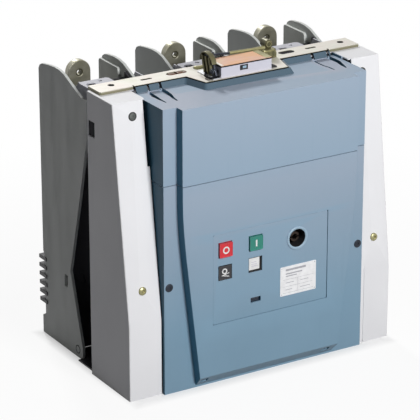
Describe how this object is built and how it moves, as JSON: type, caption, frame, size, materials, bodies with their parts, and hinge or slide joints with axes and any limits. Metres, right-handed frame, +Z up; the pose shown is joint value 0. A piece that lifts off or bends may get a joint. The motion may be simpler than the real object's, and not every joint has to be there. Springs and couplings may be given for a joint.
{
  "type": "vacuum circuit breaker",
  "caption": "Fixed-mounted medium-voltage vacuum circuit breaker with a flat operating mechanism housing in front and open-backed pole shells behind.",
  "frame": {"origin": "centre of the footprint, on the floor", "axes": "+Z up, the operating front faces -Y, +X to the right seen from the front"},
  "size_m": [0.58, 0.406, 0.616],
  "materials": {
    "white_paint": "satin powder coat",
    "grey_sheet": "satin powder coat",
    "zinc_sheet": "galvanised sheet",
    "chromated_steel": "yellow chromated zinc",
    "cover_blue": "fine-grained moulded plastic",
    "rim_teal": "fine-grained moulded plastic",
    "button_red": "semi gloss",
    "button_green": "semi gloss",
    "indicator_black": "semi gloss",
    "indicator_white": "semi gloss",
    "window_dark": "gloss",
    "bezel_plastic": "satin",
    "socket_steel": "blackened steel",
    "label_white": "printed film",
    "screw_dark": "blackened steel",
    "bolt_zinc": "yellow chromated zinc",
    "plug_box_grey": "satin",
    "copper_sheet": "copper coloured sheet",
    "olive_steel": "olive chromated zinc",
    "black_plastic": "satin",
    "rod_brown": "laminated insulating rod",
    "shell_grey": "moulded glass-fibre polyester",
    "black_resin": "cast resin",
    "ceramic_white": "glazed ceramic",
    "terminal_metal": "tarnished silver plate"
  },
  "bodies": {
    "housing": {"base_plate": "zinc_sheet", "back_plate": "grey_sheet", "left_side_panel": "white_paint", "right_side_panel": "white_paint", "crossbar": "chromated_steel", "cover_upper": "cover_blue", "cover_lower": "cover_blue", "cover_rim": "rim_teal", "control_panel": "cover_blue", "spring_indicator": "indicator_black", "position_indicator": "indicator_white", "counter_window": "window_dark", "crank_bezel": "bezel_plastic", "rating_plate": "label_white", "cover_screws": "screw_dark", "side_panel_bolts": "bolt_zinc", "pole_carrier": "grey_sheet", "plug_box": "plug_box_grey", "plug_box_lid": "copper_sheet", "trip_lever": "olive_steel", "latch_bracket": "olive_steel", "latch_knob": "black_plastic", "operating_rods": "rod_brown", "post_insulators": "black_resin", "pole_shell_1": "shell_grey", "pole_shell_2": "shell_grey", "pole_shell_3": "shell_grey", "pole_barrier_1": "black_resin", "pole_barrier_2": "black_resin", "pole_barrier_3": "black_resin", "rear_insulator_1": "black_resin", "rear_insulator_2": "black_resin", "rear_insulator_3": "black_resin", "interrupter_1": "ceramic_white", "interrupter_2": "ceramic_white", "interrupter_3": "ceramic_white", "upper_terminal_1": "terminal_metal", "upper_terminal_2": "terminal_metal", "upper_terminal_3": "terminal_metal", "lower_terminal_1": "terminal_metal", "lower_terminal_2": "terminal_metal", "lower_terminal_3": "terminal_metal"},
    "off_button": {"off_button": "button_red"},
    "on_button": {"on_button": "button_green"},
    "crank_coupling": {"crank_coupling": "socket_steel"}
  },
  "joints": [
    {"name": "off_button_push", "type": "slide", "parent": "housing", "child": "off_button", "axis": [0, 1, 0], "range_m": [0, 0.005], "stiffness_N_per_m": 800, "springref_m": -0.002},
    {"name": "on_button_push", "type": "slide", "parent": "housing", "child": "on_button", "axis": [0, 1, 0], "range_m": [0, 0.005], "stiffness_N_per_m": 800, "springref_m": -0.002},
    {"name": "crank_coupling_turn", "type": "hinge", "parent": "housing", "child": "crank_coupling", "pos_m": [0.058, -0.185, 0.264], "axis": [0, -1, 0], "continuous": true}
  ]
}
